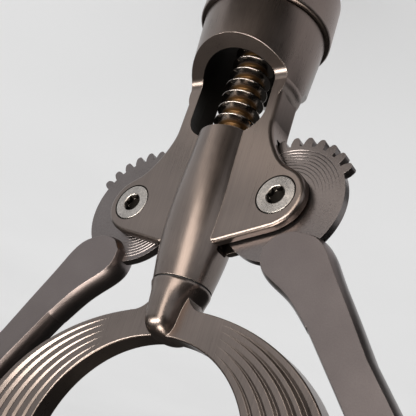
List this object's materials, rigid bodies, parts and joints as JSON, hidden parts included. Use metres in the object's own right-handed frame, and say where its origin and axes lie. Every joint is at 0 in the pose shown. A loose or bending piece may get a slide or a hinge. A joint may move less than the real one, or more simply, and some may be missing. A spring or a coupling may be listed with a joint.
{
  "type": "lever corkscrew",
  "caption": "Lever corkscrew: geared side levers lift a ringed spindle with a finger-ring handle and worm through an open bell that sits on the bottle.",
  "frame": {"origin": "centre of the open bell rim, where the tool sits on the bottle", "axes": "+Z from the bell towards the ring handle, front face of the cheeks towards -Y, levers to -X and +X"},
  "size_m": [0.184, 0.0462, 0.2406],
  "materials": {
    "satin_gunmetal": "satin warm gunmetal plating, finely brushed",
    "gear_steel": "satin gunmetal plating over turned steel, fine concentric marks",
    "screw_steel": "satin gunmetal plating",
    "dark_chrome": "polished dark chrome",
    "hard_steel": "ground steel",
    "bearing_bronze": "oiled bearing bronze",
    "black_polymer": "matte black acetal"
  },
  "bodies": {
    "frame": {"bell_frame": "satin_gunmetal", "mouth_collar": "satin_gunmetal", "mouth_liner": "black_polymer", "lower_bush": "bearing_bronze", "upper_bush": "bearing_bronze", "left_sleeve": "hard_steel", "right_sleeve": "hard_steel", "left_front_screw": "screw_steel", "left_front_washer": "black_polymer", "left_back_screw": "screw_steel", "left_back_washer": "black_polymer", "right_front_screw": "screw_steel", "right_front_washer": "black_polymer", "right_back_screw": "screw_steel", "right_back_washer": "black_polymer"},
    "left_lever": {"left_gear": "gear_steel", "left_arm": "satin_gunmetal", "left_dowel_near": "hard_steel", "left_dowel_far": "hard_steel"},
    "right_lever": {"right_gear": "gear_steel", "right_arm": "satin_gunmetal", "right_dowel_near": "hard_steel", "right_dowel_far": "hard_steel"},
    "carriage": {"seat_washer": "black_polymer"},
    "spindle": {"rack_spindle": "dark_chrome", "ring_handle": "satin_gunmetal", "handle_screw": "hard_steel", "worm": "dark_chrome", "worm_pin": "hard_steel"}
  },
  "joints": [
    {"name": "left_lever_hinge", "type": "hinge", "parent": "frame", "child": "left_lever", "pos_m": [-0.027, 0, 0.088], "axis": [0, -1, 0], "range_deg": [0, 140]},
    {"name": "right_lever_hinge", "type": "hinge", "parent": "frame", "child": "right_lever", "pos_m": [0.027, 0, 0.088], "axis": [0, 1, 0], "range_deg": [0, 140]},
    {"name": "spindle_slide", "type": "slide", "parent": "frame", "child": "carriage", "axis": [0, 0, 1], "range_m": [0, 0.0535]},
    {"name": "spindle_spin", "type": "hinge", "parent": "carriage", "child": "spindle", "pos_m": [0, 0, 0.1156], "axis": [0, 0, 1], "continuous": true}
  ],
  "couplings": [
    {"joint": "right_lever_hinge", "follows": "left_lever_hinge", "ratio": 1},
    {"joint": "spindle_slide", "follows": "left_lever_hinge", "m_per_rad": 0.02186}
  ]
}
